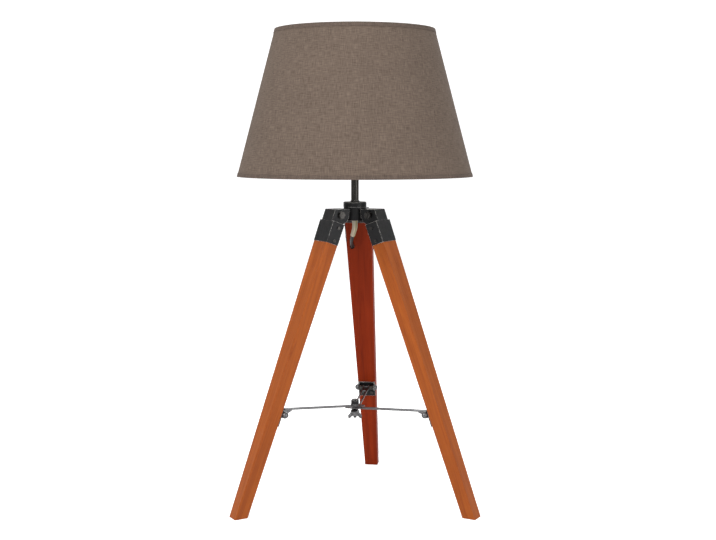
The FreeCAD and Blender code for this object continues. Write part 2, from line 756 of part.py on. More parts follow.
def build_straps():
    """The three slotted straps, one above another where they cross."""
    reach = f"({PIN_REACH} / cos(strap_slope))"
    for number, side in enumerate(("left", "right", "back")):
        level = f"(strap_height + {1 - number} * strap_pitch)"
        half = "strap_thickness / 2"
        long = f"({reach} + strap_overhang - strap_width / 2)"
        bar = block(f"bar_{side}", f"{long} - ear_radius", "strap_width", "strap_thickness",
                    f"-{long}", "-strap_width / 2", f"{level} - {half}")
        end = rod(f"bar_end_{side}", "strap_width / 2", "strap_thickness", f"-{long}",
                  z=f"{level} - {half}")
        slot = block(f"slot_{side}", f"{reach} + slot_past - slot_near", "slot_width",
                     "2 * strap_thickness", f"-{reach} - slot_past", "-slot_width / 2",
                     f"{level} - strap_thickness")
        ears = []
        for way, edge in (("a", "strap_width / 2 - strap_ear_wall"), ("b", "-strap_width / 2")):
            web = plate(f"web_{side}_{way}", [
                ("-strap_ear_length", f"{level} + {half}"), ("-ear_radius", f"{level} + {half}"),
                ("0", "strap_ear_radius"), ("0", "-strap_ear_radius"),
                ("-strap_ear_length", f"{level} - {half} - 1")], "strap_ear_wall")
            moved = put(group(f"web_place_{side}_{way}", web), y=f"{edge} + strap_ear_wall / 2")
            ears += [moved, rod(f"ear_{side}_{way}", "strap_ear_radius", "strap_ear_wall",
                                y=edge, turn=ALONG_Y)]
        bore = rod(f"ear_bore_{side}", "pin_radius + pin_fit", "strap_width",
                   y="-strap_width / 2", turn=ALONG_Y)
        strap = cut(f"strap_form_{side}", fuse(f"strap_blank_{side}", bar, end, *ears), slot, bore)
        finish(f"strap_{side}", strap, strap_frame(side))


def build_clamp():
    """The bolt, washers and wing nut that hold the crossed straps together."""
    upper = f"({CROSSING} + {STACK_HALF})"
    lower = f"({CROSSING} - {STACK_HALF} - washer_height)"
    shank = rod("bolt_shank", "bolt_radius", f"{upper} + washer_height - bolt_tail",
                z="bolt_tail")
    head = rod("bolt_head", "bolt_head_radius", "bolt_head_height * 0.8",
               z=f"{upper} + washer_height")
    crown = frustum("bolt_crown", "bolt_head_radius", "bolt_head_radius * 0.75",
                    "bolt_head_height * 0.2", f"{upper} + washer_height + bolt_head_height * 0.8")
    finish("stretcher_bolt", fuse("bolt", shank, head, crown))
    bore = rod("washer_bore", "bolt_radius + thread_fit", "20", z=f"{CROSSING} - 10")
    finish("stretcher_washers", group("clamp_washers", *[
        cut(f"washer_{name}", rod(f"washer_blank_{name}", "washer_radius", "washer_height",
                                  z=level), bore)
        for name, level in (("upper", upper), ("lower", lower))]))
    top = f"({lower} - thread_fit)"
    body = frustum("wing_hub", "wing_body_radius", "wing_body_radius + 0.4", "wing_body_height",
                   f"{top} - wing_body_height")
    wing = plate("wing", [
        ("wing_body_radius - 1", f"{top} - 0.6"), ("wing_body_radius + 1.2", f"{top} - 1"),
        ("wing_span", f"{top} - wing_body_height"), ("wing_span - 0.6", f"{top} - wing_drop"),
        ("wing_span - 2.6", f"{top} - wing_drop"),
        ("wing_body_radius - 1", f"{top} - wing_body_height")], "wing_thickness")
    other = placed("wing_other", wing, Placement(Vector(), Rotation(Vector(0, 0, 1), 180)))
    thread = rod("wing_bore", "bolt_radius + thread_fit", "wing_body_height + 2",
                 z=f"{top} - wing_body_height - 1")
    finish("wing_nut", cut("wing_nut_form", fuse("wing_nut_blank", body, wing, other), thread))


# ---- lamp holder and bulb ----

def build_holder():
    """The holder's cap, shell, insert, screw shell, contact and the ring above the shade."""
    bore = "stem_radius + stem_fit"
    inside = "holder_radius - holder_wall"
    floor = "holder_base + holder_neck_height"
    finish("holder_cap", turned("holder_cap_turned", [
        (bore, "holder_base"), ("holder_neck_radius", "holder_base"),
        ("holder_neck_radius", floor), ("holder_radius - 2", floor),
        ("holder_radius", f"{floor} + 2"), ("holder_radius", "holder_joint"),
        (inside, "holder_joint"), (inside, f"{floor} + holder_floor"),
        (bore, f"{floor} + holder_floor")]))
    finish("holder_shell", turned("holder_shell_turned", [
        (inside, "holder_joint"), ("holder_radius", "holder_joint"),
        ("holder_radius", FLANGE_LEVEL), ("flange_radius", FLANGE_LEVEL),
        ("flange_radius", SEAT), ("holder_radius", SEAT), ("holder_radius", "holder_top"),
        (inside, "holder_top")]))
    finish("holder_insert", turned("holder_insert_turned", [
        ("0", "holder_joint + seat_gap"), (f"{inside} - seat_gap", "holder_joint + seat_gap"),
        (f"{inside} - seat_gap", INSERT_TOP), ("0", INSERT_TOP)]))
    edge = "holder_top - socket_lip"
    finish("socket_sleeve", turned("socket_turned", [
        ("socket_radius - socket_wall", INSERT_TOP), ("socket_radius", INSERT_TOP),
        ("socket_radius", f"{edge} - socket_wall"),
        (f"{inside} - 2 * seat_gap", f"{edge} - socket_wall"),
        (f"{inside} - 2 * seat_gap", edge), ("socket_radius - socket_wall", edge)]))
    finish("socket_contact", block("contact_strip", "contact_length", "contact_width",
                                   "contact_height", "-contact_length / 2",
                                   "-contact_width / 2", INSERT_TOP))
    fit = "holder_radius + ring_fit"
    finish("shade_ring", turned("shade_ring_turned", [
        (fit, RING_LEVEL), ("shade_ring_radius", RING_LEVEL),
        ("shade_ring_radius", f"{RING_LEVEL} + shade_ring_flange"),
        ("shade_ring_collar", f"{RING_LEVEL} + shade_ring_flange"),
        ("shade_ring_collar", f"{RING_LEVEL} + shade_ring_height"),
        (fit, f"{RING_LEVEL} + shade_ring_height")]))


def glass_outline(inset):
    """The bulb's side from its neck to its top, as two edges, inset by a thickness."""
    radius = size("bulb_radius") - inset
    neck = Vector(size("bulb_neck_radius") - inset, 0, size(BULB_NECK))
    middle = Vector(0, 0, size(BULB_FOOT) + size("bulb_length") - size("bulb_radius"))
    apart = (neck - middle).Length
    low = math.atan2(neck.z - middle.z, neck.x) + math.acos(radius / apart)
    touch = middle + Vector(math.cos(low), 0, math.sin(low)) * radius
    side = middle + Vector(math.cos(low / 2 + math.pi / 4), 0, math.sin(low / 2 + math.pi / 4)) * radius
    crown = middle + Vector(0, 0, radius)
    return neck, crown, [Part.LineSegment(neck, touch).toShape(),
                         Part.Arc(touch, side, crown).toShape()]


def build_bulb():
    """The bulb: glass, screw cap, insulator, contact, and the stem with its filaments."""
    neck, crown, outside = glass_outline(0)
    inner_neck, inner_crown, inside = glass_outline(size("bulb_wall"))
    section = Part.Wire(Part.__sortEdges__([
        *outside, Part.LineSegment(crown, inner_crown).toShape(), *inside,
        Part.LineSegment(inner_neck, neck).toShape()]))
    feature("bulb_glass", Part.Face(section).revolve(Vector(), Vector(0, 0, 1), 360))
    inner = "bulb_cap_radius - bulb_cap_wall"
    finish("bulb_cap", turned("bulb_cap_turned", [
        ("bulb_contact_radius * 2", BULB_CAP_FOOT), (inner, BULB_CAP_FOOT),
        ("bulb_cap_radius", f"{BULB_CAP_FOOT} + 2"), ("bulb_cap_radius", BULB_NECK),
        (inner, BULB_NECK), (inner, f"{BULB_CAP_FOOT} + 2 + bulb_cap_wall"),
        ("bulb_contact_radius * 2", f"{BULB_CAP_FOOT} + bulb_cap_wall")]))
    finish("bulb_insulator", turned("bulb_insulator_turned", [
        ("0", f"{BULB_FOOT} + bulb_contact_height"),
        ("bulb_contact_radius", f"{BULB_FOOT} + bulb_contact_height"),
        ("bulb_contact_radius * 2 - bulb_cap_wall", f"{BULB_CAP_FOOT} + bulb_cap_wall"),
        ("0", f"{BULB_CAP_FOOT} + bulb_cap_wall")]))
    finish("bulb_contact", rod("bulb_contact_disc", "bulb_contact_radius",
                               "bulb_contact_height", z=BULB_FOOT))
    top = f"{BULB_NECK} + bulb_stem_height"
    wires = [rod(f"filament_{angle}", "filament_radius", "filament_length",
                 f"filament_spread * cos({angle})", f"filament_spread * sin({angle})", top)
             for angle in (45, 135, 225, 315)]
    stem = frustum("bulb_stem", "bulb_neck_radius - bulb_wall - wood_gap", "bulb_stem_radius",
                   "bulb_stem_height", BULB_NECK)
    disc = rod("bulb_stem_disc", "filament_spread + filament_radius + 0.4", "1", z=top)
    finish("bulb_filaments", fuse("filament_set", stem, disc, *wires))


# ---- shade ----

def shade_radius(height):
    return f"(shade_foot_radius - {SHADE_LEAN} * ({height} - shade_bottom))"


def sleeve_round(name, low, high, outset, wall):
    """A tapered skin that follows the shade, set out from its outer face."""
    return turned(name, [
        (f"{shade_radius(low)} + ({outset}) - ({wall})", low),
        (f"{shade_radius(low)} + ({outset})", low),
        (f"{shade_radius(high)} + ({outset})", high),
        (f"{shade_radius(high)} + ({outset}) - ({wall})", high)])


def build_shade():
    """The shade's fabric, liner, trims, top ring and the spider with its bottom ring."""
    finish("shade_fabric", sleeve_round("fabric_skin", "shade_bottom", "shade_top", "0",
                                        "fabric_thickness"))
    finish("shade_liner", sleeve_round("liner_skin", "shade_bottom", "shade_top",
                                       "-fabric_thickness - wood_gap", "liner_thickness"))
    out = "trim_thickness + wood_gap"
    finish("shade_trims", group(
        "trims",
        sleeve_round("trim_low", "shade_bottom", "(shade_bottom + trim_height)", out,
                     "trim_thickness"),
        sleeve_round("trim_high", "(shade_top - trim_height)", "shade_top", out,
                     "trim_thickness")))
    skins = "fabric_thickness + liner_thickness + 3 * wood_gap + wire_radius / cos(14.9)"
    rings = []
    for name, height in (("low", "(shade_bottom + wire_inset)"), ("high", "(shade_top - wire_inset)")):
        ring = doc.addObject("Part::Torus", f"wire_{name}")
        bind(ring, Radius1=f"{shade_radius(height)} - ({skins})", Radius2="wire_radius")
        rings.append(put(ring, z=height))
    finish("shade_top_ring", rings[1])
    seat = f"({SEAT} + seat_gap)"
    middle = f"({seat} + fitter_thickness / 2)"
    disc = rod("fitter_disc", "fitter_radius", "fitter_thickness", z=seat)
    bore = rod("fitter_bore", "holder_radius + 10 * ring_fit", "3 * fitter_thickness",
               z=f"{seat} - fitter_thickness")
    start = "(shade_ring_radius + 2)"
    across = f"({shade_radius('(shade_bottom + wire_inset)')} - ({skins}) - {start})"
    fall = f"({middle} - shade_bottom - wire_inset)"
    slant = math.degrees(math.atan2(size(fall), size(across)))
    arms = []
    for angle in (30, 150, 270):
        turn = Placement(Vector(), Rotation(Vector(0, 0, 1), angle))
        tab = block(f"fitter_tab_{angle}", f"{start} + 2 - holder_radius - 2", "8",
                    "fitter_thickness", "holder_radius + 2", "-4", seat)
        spoke = rod(f"spoke_{angle}", "wire_radius", f"sqrt({across}^2 + {fall}^2)",
                    start, z=middle, turn=(0, 1, 0, 90 + slant))
        arms.append(placed(f"arm_{angle}", fuse(f"arm_form_{angle}", tab, spoke), turn))
    finish("shade_spider", cut("spider", fuse("spider_blank", disc, rings[0], *arms), bore))


# ---- mains lead, switch, hank and plug ----

def relief(path):
    """The tapered sleeve round the lead where it leaves the stem."""
    short = []
    left = size("relief_length")
    for edge in path.Edges:
        part = min(left, edge.Length)
        end = edge.getParameterByLength(part)
        short.append(edge.Curve.toShape(edge.FirstParameter, end))
        left -= part
        if left < 1e-6:
            break
    spine = Part.Wire(short)
    shapes = []
    for root, tip in (("relief_root_radius", "relief_tip_radius"),
                      ("flex_radius + 2 * wood_gap", "flex_radius + 2 * wood_gap")):
        rings = []
        for radius, edge, at in ((root, spine.Edges[0], "FirstParameter"),
                                 (tip, spine.Edges[-1], "LastParameter")):
            spot = getattr(edge, at)
            rings.append(Part.Wire(Part.makeCircle(size(radius), edge.valueAt(spot),
                                                   edge.tangentAt(spot))))
        shapes.append(spine.makePipeShell(rings, True, False))
    return shapes[0].cut(shapes[1])


def build_lead():
    """The lead from the stem to the switch, and on to the hank."""
    radius = size("flex_radius")
    path = route_path("flex_lead", LEAD_ROUTE)
    feature("flex_lead", tube("flex_lead", path, radius))
    feature("cord_sleeve", relief(path))
    runs = [tube(name, route_path(name, route), radius)
            for name, route in (("upper run", UPPER_ROUTE), ("lower run", LOWER_ROUTE))]
    feature("flex_runs", Part.Compound(runs))
    feature("flex_tail", tube("flex_tail", route_path("flex_tail", TAIL_ROUTE), radius))


def build_switch():
    """The inline switch, in its own frame: X out from the leg, Z up along it."""
    frame = leg_frame("back").multiply(Placement(
        Vector(size("leg_offset + leg_thickness / 2 + switch_seat + switch_thickness / 2"),
               size("switch_aside"), -size("switch_from + switch_length / 2")), Rotation()))
    half = "switch_thickness / 2"
    box = block("switch_box", "switch_thickness", "switch_width", "switch_length", f"-{half}",
                "-switch_width / 2", "-switch_length / 2")
    box = eased("switch_rounded", box, Vector(0, 0, 1), size("switch_round"))
    wall = "rocker_rise"
    space = block("switch_space", f"switch_thickness - 2 * {wall}", f"switch_width - 2 * {wall}",
                  f"switch_length - 2 * {wall}", f"-{half} + {wall}",
                  f"-switch_width / 2 + {wall}", f"-switch_length / 2 + {wall}")
    shell = cut("switch_shell", box, space)
    inner = block("switch_inner", half, "2 * switch_width", "2 * switch_length",
                  f"-{half} - switch_part_line / 2", "-switch_width", "-switch_length")
    outer = block("switch_outer", half, "2 * switch_width", "2 * switch_length",
                  "switch_part_line / 2", "-switch_width", "-switch_length")
    finish("switch_case", overlap("case", shell, inner), frame)
    gate = block("rocker_gate", half, "rocker_width + 2 * rocker_clearance",
                 "rocker_length + 2 * rocker_clearance", "rocker_axle_radius * 2",
                 "-rocker_width / 2 - rocker_clearance",
                 "-rocker_length / 2 - rocker_clearance")
    finish("switch_cover", cut("cover", overlap("cover_blank", shell, outer), gate), frame)
    pad = block("rocker_pad", "rocker_depth + rocker_rise", "rocker_width", "rocker_length",
                f"{half} - rocker_depth", "-rocker_width / 2", "-rocker_length / 2")
    pad = eased("rocker_rounded", pad, Vector(0, 1, 0), 1.0)
    axle = rod("rocker_axle", "rocker_axle_radius", "rocker_width + 4 * rocker_axle_radius",
               ROCKER_AXIS, "-rocker_width / 2 - 2 * rocker_axle_radius", turn=ALONG_Y)
    rocker = fuse("rocker", pad, axle)
    axis = Vector(size(ROCKER_AXIS), 0, 0)
    tilt = Placement(Vector(), Rotation(Vector(0, 1, 0), size("rocker_tilt")), axis)
    finish("switch_rocker", rocker, frame.multiply(tilt))


ROCKER_AXIS = "(switch_thickness / 2 - rocker_rise - rocker_axle_radius - rocker_clearance)"


def two_arcs(start, heading, end, arrival):
    """The pair of tangent arcs between two points with given directions."""
    span = end - start
    both = heading + arrival
    turn = 2 * (1 - heading.dot(arrival))
    if turn < 1e-9:
        reach = span.dot(span) / (4 * span.dot(arrival))
    else:
        part = span.dot(both)
        reach = (math.sqrt(part ** 2 + turn * span.dot(span)) - part) / turn
    first = start + heading * reach
    last = end - arrival * reach
    join = (first + last) * 0.5
    return [tangent_arc(start, first, join), tangent_arc(join, last, end)]


# The hank's turns: the column and the layer of the run along the table, then of the run
# back over it. A run back steps across, or climbs a layer, in one third of its length.
HANK_TURNS = [
    # column, layer, next column, next layer, the third where it moves
    (-1, 0, 0, 0, 3),
    (0, 0, 1, 0, 3),
    (1, 0, 1, 1, 2),
    (1, 1, 0, 1, 1),
]


def build_hank():
    """The put-away lead: one unbroken lead in two layers of turns, drawn in at a tie."""
    half = size("hank_run") / 2
    low = size("hank_middle_y") - half
    high = low + 2 * half
    waist = size("hank_waist")
    folds = [size("hank_fold_radius"), size("hank_fold_radius + hank_step")]
    level = size("flex_radius") + folds[1]
    column = lambda number: size("hank_middle_x") + number * size("hank_pitch")

    def run(sign, knots):
        """One run through knots (column, radius, y), along +Y or back along it."""
        spots = [Vector(x, y, level + (radius if sign < 0 else -radius))
                 for x, radius, y in knots]
        heading = Vector(0, sign, 0)
        return [arc for a, b in zip(spots, spots[1:]) for arc in two_arcs(a, heading, b, heading)]

    def fold(x, radius, y, sign):
        """A half circle at an end of the hank; sign +1 at the far end."""
        return Part.Arc(Vector(x, y, level - sign * radius), Vector(x, y + sign * radius, level),
                        Vector(x, y, level + sign * radius)).toShape()

    third = 2 * half / 3
    start = Vector(column(-1), low, level - folds[0])
    edges = [Part.LineSegment(start - Vector(0, size("hank_lead_in"), 0), start).toShape()]
    for here, layer, there, climb, place in HANK_TURNS:
        x, radius = column(here), folds[layer]
        edges += run(1, [(x, radius, low), (x, radius - waist, low + third),
                         (x, radius - waist, high - third), (x, radius, high)])
        edges.append(fold(x, radius, high, 1))
        knots = [(x, radius, high)]
        for part in (1, 2, 3):
            moved = part >= place
            x_now = column(there) if moved else x
            radius_now = folds[climb] if moved else radius
            knots.append((x_now, radius_now - (waist if part < 3 else 0), high - part * third))
        edges += run(-1, knots)
        edges.append(fold(column(there), folds[climb], low, -1))
    x, radius = column(0), folds[1]
    edges += run(1, [(x, radius, low), (x, radius - waist, low + third),
                     (x, radius - waist, high - third), (x, radius, high)])
    end = Vector(x, high, level - radius)
    edges.append(Part.LineSegment(end, end + Vector(0, size("hank_lead_out"), 0)).toShape())
    path = Part.Wire(edges)
    feature("flex_hank", tube("flex_hank", path, size("flex_radius")))
    points = path.discretize(Distance=1.5)
    apart = int(6 * 2 * size("flex_radius") / 1.5)
    least = min(a.distanceToPoint(b) for number, a in enumerate(points)
                for b in points[number + apart:])
    print(f"flex_hank: least gap to itself {least - 2 * size('flex_radius'):.2f}")
    radii = [edge.Curve.Radius for edge in edges if hasattr(edge.Curve, "Radius")]
    print(f"flex_hank: smallest radius {min(radii):.1f}")


def build_tie():
    """The flat tie round the hank's waist."""
    half_width = "(hank_pitch + flex_radius + tie_gap)"
    half_height = "(hank_fold_radius + hank_step - hank_waist + flex_radius + tie_gap)"
    middle = "(flex_radius + hank_fold_radius + hank_step)"
    loops = []
    for name, wall, wide, ease in (("outside", "tie_wall", "tie_width", 3.8),
                                   ("inside", "0", "2 * tie_width", 3.0)):
        loop = block(f"tie_{name}", f"2 * ({half_width} + {wall})", wide,
                     f"2 * ({half_height} + {wall})",
                     f"hank_middle_x - {half_width} - {wall}", f"hank_middle_y - ({wide}) / 2",
                     f"{middle} - {half_height} - {wall}")
        loops.append(eased(f"tie_{name}_rounded", loop, Vector(0, 1, 0), ease))
    finish("hank_tie", cut("tie", *loops))


def build_plug():
    """The moulded plug on its narrow edge, and its two round pins."""
    level = "(plug_width / 2)"
    body = block("plug_block", "plug_thickness", "plug_length", "plug_width",
                 "hank_middle_x - plug_thickness / 2", "plug_start_y + plug_nose_length", "0")
    body = eased("plug_rounded", body, Vector(0, 1, 0), size("plug_round"))
    nose = frustum("plug_nose", "plug_nose_radius", "plug_thickness / 2 - 0.4",
                   "plug_nose_length", level, ALONG_Y, "hank_middle_x", "plug_start_y")
    face = "plug_start_y + plug_nose_length + plug_length"
    holes, pins = [], []
    for way, sign in (("high", "+"), ("low", "-")):
        place = {"x": "hank_middle_x", "z": f"{level} {sign} plug_pin_spread / 2",
                 "turn": ALONG_Y}
        holes.append(rod(f"pin_hole_{way}", "plug_pin_root_radius + wood_gap",
                         "plug_pin_root + wood_gap", y=f"{face} - plug_pin_root - wood_gap",
                         **place))
        root = rod(f"pin_root_{way}", "plug_pin_root_radius", "plug_pin_root",
                   y=f"{face} - plug_pin_root", **place)
        shank = rod(f"pin_shank_{way}", "plug_pin_radius", "plug_pin_length", y=face, **place)
        pins.append(fuse(f"plug_pin_{way}", root, shank))
    finish("plug_body", cut("plug", fuse("plug_blank", body, nose), *holes))
    finish("plug_pins", group("pins", *pins))


def check_and_export():
    """Stop on any broken object; write each sub-part to parts/."""
    doc.recompute()
    for thing in doc.Objects:
        if {"Invalid", "Error"} & set(thing.State):
            raise RuntimeError(f"{thing.Name} did not build: {thing.State}")
    os.makedirs("parts", exist_ok=True)
    for label, thing in finished.items():
        shape = thing.Shape
        if shape.isNull() or not shape.isValid() or not shape.Solids:
            raise RuntimeError(f"{label} is not a sound solid")
        shape.exportStep(f"parts/{label}.step")
    print(f"{len(finished)} sub-parts written")


for build in (build_hub, build_stem, build_hinge_fasteners, build_legs, build_straps,
              build_clamp, build_holder, build_bulb, build_shade, build_lead, build_switch,
              build_hank, build_tie, build_plug, check_and_export):
    build()
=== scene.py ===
"""Looks, lights and camera of the tripod table lamp, in metres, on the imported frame."""

import json
import logging
import math
from dataclasses import dataclass
from enum import Enum

import bpy
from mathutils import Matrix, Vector

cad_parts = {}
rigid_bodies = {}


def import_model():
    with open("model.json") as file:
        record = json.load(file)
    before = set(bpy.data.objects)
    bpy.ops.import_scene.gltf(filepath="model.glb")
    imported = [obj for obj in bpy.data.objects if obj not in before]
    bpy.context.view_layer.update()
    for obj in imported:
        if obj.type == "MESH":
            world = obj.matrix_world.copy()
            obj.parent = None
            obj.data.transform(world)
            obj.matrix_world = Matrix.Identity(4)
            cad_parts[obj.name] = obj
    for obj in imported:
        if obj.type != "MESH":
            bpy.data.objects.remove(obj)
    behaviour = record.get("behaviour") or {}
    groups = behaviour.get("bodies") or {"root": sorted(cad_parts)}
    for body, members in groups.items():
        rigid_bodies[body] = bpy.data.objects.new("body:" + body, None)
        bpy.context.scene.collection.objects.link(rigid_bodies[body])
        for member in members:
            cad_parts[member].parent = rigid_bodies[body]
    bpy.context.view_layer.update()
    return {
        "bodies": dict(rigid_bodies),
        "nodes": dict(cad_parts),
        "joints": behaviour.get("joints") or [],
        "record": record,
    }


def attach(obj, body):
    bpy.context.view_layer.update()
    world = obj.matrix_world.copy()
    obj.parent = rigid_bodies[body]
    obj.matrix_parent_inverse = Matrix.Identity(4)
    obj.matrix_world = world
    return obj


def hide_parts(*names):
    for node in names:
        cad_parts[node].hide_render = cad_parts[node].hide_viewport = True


LOG = logging.getLogger("tripod_lamp")

Colour = tuple[float, float, float]
Point = tuple[float, float, float]

LEG_TILT = 20.3
LEG_AZIMUTHS = {"left": 210.0, "right": 330.0, "back": 81.5}
HINGE_RADIUS = 0.0275
HINGE_HEIGHT = 0.373
LEAD_RADIUS = 0.00225
SHARP_ANGLE = 28.0
SHADE_MEAN_RADIUS = 0.125
THREAD_PITCH = 0.0014
WEAR_AND_HIGHLIGHT_WIDTH = 0.0007
FLOOR_DROP = 0.0002
FLOOR_HALF_WIDTH = 7.0

# The lead's route, as the model's source has it: from the stem to the switch, and from the
# switch to the hank.
LEAD_ROUTE: list[Point] = [
    (0.0, 0.0, 0.3656), (0.0, 0.0, 0.356), (-0.0035, 0.007, 0.343),
    (-0.00495, 0.026, 0.3338), (-0.0012, 0.0646, 0.3177), (0.0026, 0.0714, 0.2985),
    (0.0063, 0.076, 0.28865), (0.01, 0.0806, 0.2788), (0.01095, 0.08717, 0.261),
]
LOWER_ROUTE: list[Point] = [
    (0.01385, 0.10637, 0.2085), (0.0148, 0.1129, 0.1907), (0.0169, 0.1196, 0.1634),
    (0.0199, 0.1329, 0.1237), (0.0214, 0.1499, 0.0788), (0.0243, 0.164, 0.0393),
    (0.0246, 0.1777, 0.014), (0.0216, 0.1915, 0.0077), (0.0189, 0.205, 0.00765),
]
TAIL_ROUTE: list[Point] = [
    (0.0242, 0.344, 0.00225), (0.0242, 0.361, 0.0175), (0.0242, 0.375, 0.0175),
]


class Use(Enum):
    """The effect that a finish is drawn with."""

    MOTTLE = "mottle"
    EDGE_WEAR_AND_HIGHLIGHT = "edge_wear_and_highlight"
    LINEN = "linen"
    WOOD = "wood"
    STRIPED = "striped"
    GLASS = "glass"


@dataclass(frozen=True)
class Finish:
    """What a surface looks like.

    Args:
        name: The material's name.
        use: The effect that varies it.
        base: Its main colour, linear.
        second: The colour that the effect mixes in.
        rough: Its roughness, lowest and highest.
        metallic: How metallic it is.
        scale: Patches of its variation to the metre.
        bump: The height of its fine relief, in metres.
        coat: The weight of a clear coat.
        specular: The strength of the bare surface's shine, 0.5 for most things.
    """

    name: str
    use: Use
    base: Colour
    second: Colour
    rough: tuple[float, float] = (0.4, 0.5)
    metallic: float = 0.0
    scale: float = 300.0
    bump: float = 0.00002
    coat: float = 0.0
    specular: float = 0.5


LINEN = Finish("linen", Use.LINEN, (0.070, 0.048, 0.035), (0.175, 0.128, 0.097), (0.9, 0.95),
               bump=0.00025)
RIM = Finish("rim_band", Use.LINEN, (0.055, 0.038, 0.028), (0.14, 0.10, 0.078), (0.85, 0.95),
             bump=0.00015)
LINER = Finish("liner", Use.MOTTLE, (0.78, 0.75, 0.70), (0.70, 0.67, 0.61), (0.45, 0.6),
               scale=60.0)
WOOD = Finish("varnished_wood", Use.WOOD, (0.37, 0.086, 0.009), (0.215, 0.040, 0.005),
              (0.36, 0.52), bump=0.00004, specular=0.22)
# The same varnished wood, drawn darker and with less shine for the back leg: painted shade.
SHADED_BACK_WOOD = Finish("varnished_wood_dark", Use.WOOD, (0.27, 0.027, 0.003), (0.15, 0.013, 0.002),
                   (0.40, 0.55), bump=0.00004, specular=0.1)
# Its pale second colour lies along the edges: paint wear, and a painted edge highlight.
BLACK_PAINT = Finish("black_paint", Use.EDGE_WEAR_AND_HIGHLIGHT, (0.008, 0.008, 0.009), (0.85, 0.83, 0.80),
                     (0.30, 0.44), scale=240.0, specular=0.3)
BLACK_PLASTIC = Finish("black_plastic", Use.MOTTLE, (0.014, 0.014, 0.015),
                       (0.020, 0.020, 0.021), (0.32, 0.45), scale=500.0)
DARK_CHROME = Finish("dark_chrome", Use.MOTTLE, (0.060, 0.058, 0.053), (0.080, 0.077, 0.070),
                     (0.12, 0.2), 1.0, 150.0, 0.000004)
ZINC = Finish("zinc", Use.MOTTLE, (0.50, 0.50, 0.51), (0.40, 0.40, 0.42), (0.26, 0.42), 1.0,
              420.0, 0.00001)
DARK_STEEL = Finish("dark_steel", Use.MOTTLE, (0.20, 0.20, 0.205), (0.13, 0.13, 0.135),
                    (0.26, 0.4), 1.0, 420.0, 0.00001)
BLACK_ZINC = Finish("black_zinc", Use.MOTTLE, (0.055, 0.052, 0.05), (0.09, 0.085, 0.08),
                    (0.2, 0.34), 1.0, 420.0, 0.00001)
BRASS = Finish("brass", Use.MOTTLE, (0.66, 0.47, 0.20), (0.55, 0.37, 0.15), (0.25, 0.38), 1.0,
               350.0, 0.00001)
NICKEL = Finish("nickel", Use.MOTTLE, (0.62, 0.60, 0.56), (0.54, 0.52, 0.49), (0.18, 0.3), 1.0,
                350.0, 0.000006)
WHITE_PAINT = Finish("white_paint", Use.MOTTLE, (0.78, 0.78, 0.76), (0.72, 0.72, 0.70),
                     (0.35, 0.5), scale=300.0)
PORCELAIN = Finish("porcelain", Use.MOTTLE, (0.78, 0.76, 0.71), (0.72, 0.70, 0.65), (0.2, 0.3),
                   scale=120.0, coat=0.3)
SHEATH = Finish("lead_sheath", Use.MOTTLE, (0.012, 0.012, 0.012), (0.018, 0.018, 0.018),
                (0.42, 0.58), scale=700.0)
CREAM = Finish("cream_sleeve", Use.STRIPED, (0.66, 0.62, 0.48), (0.40, 0.38, 0.20), (0.4, 0.5),
               scale=400.0)
AMBER = Finish("filament", Use.MOTTLE, (0.75, 0.48, 0.10), (0.65, 0.40, 0.08), (0.4, 0.6))
GLASS = Finish("bulb_glass", Use.GLASS, (0.96, 0.95, 0.92), (0.96, 0.95, 0.92), (0.02, 0.05))


class Graph:
    """Adds and links the nodes of one tree."""

    def __init__(self, tree: bpy.types.NodeTree) -> None:
        self.tree = tree

    def add(self, kind: str, settings: dict | None = None, **inputs: object) -> bpy.types.Node:
        """Adds a node.

        Args:
            kind: The node's type.
            settings: Properties to set on it.
            **inputs: A value or an output socket for each input; _ stands for a space.

        Returns:
            The new node.
        """
        node = self.tree.nodes.new(kind)
        for name, value in (settings or {}).items():
            setattr(node, name, value)
        for name, value in inputs.items():
            self.feed(node.inputs[name.replace("_", " ")], value)
        return node

    def feed(self, socket: bpy.types.NodeSocket, value: object) -> None:
        """Links an output to a socket, or sets the socket's value."""
        if isinstance(value, bpy.types.NodeSocket):
            self.tree.links.new(value, socket)
        elif socket.type == "RGBA" and len(value) == 3:
            socket.default_value = (*value, 1.0)
        else:
            socket.default_value = value

    def sum(self, operation: str, first: object, second: object = None) -> bpy.types.NodeSocket:
        """One sum of a math node.

        Args:
            operation: The math node's operation.
            first: Its first value or socket.
            second: Its second one, where it has one.

        Returns:
            The result's socket.
        """
        node = self.add("ShaderNodeMath", {"operation": operation})
        self.feed(node.inputs[0], first)
        if second is not None:
            self.feed(node.inputs[1], second)
        return node.outputs[0]

    def between(self, value: object, low: object, high: object, from_low: float = 0.0,
                from_high: float = 1.0) -> bpy.types.NodeSocket:
        """Maps a value from one range to another, clamped, and returns the socket."""
        node = self.add("ShaderNodeMapRange", None, Value=value, From_Min=from_low,
                        From_Max=from_high, To_Min=low, To_Max=high)
        return node.outputs["Result"]

    def mix(self, share: object, first: object, second: object) -> bpy.types.NodeSocket:
        """Mixes two colours by a share and returns the socket."""
        node = self.add("ShaderNodeMix", {"data_type": "RGBA"})
        self.feed(node.inputs[0], share)
        self.feed(node.inputs[6], first)
        self.feed(node.inputs[7], second)
        return node.outputs[2]

    def noise(self, place: object, scale: object, detail: float = 4.0,
              distortion: float = 0.0) -> bpy.types.NodeSocket:
        """A noise texture's value at a place."""
        node = self.add("ShaderNodeTexNoise", None, Vector=place, Scale=scale, Detail=detail,
                        Distortion=distortion)
        return node.outputs[0]

    def stretched(self, place: object, factors: Point) -> bpy.types.NodeSocket:
        """A place with each of its axes multiplied by a factor."""
        node = self.add("ShaderNodeVectorMath", {"operation": "MULTIPLY"})
        self.feed(node.inputs[0], place)
        self.feed(node.inputs[1], factors)
        return node.outputs[0]

    def relief(self, height: object, depth: object) -> bpy.types.NodeSocket:
        """The normal of a relief whose height is 0 to 1 times a depth in metres."""
        node = self.add("ShaderNodeBump", None, Height=height, Distance=depth, Strength=1.0)
        return node.outputs["Normal"]


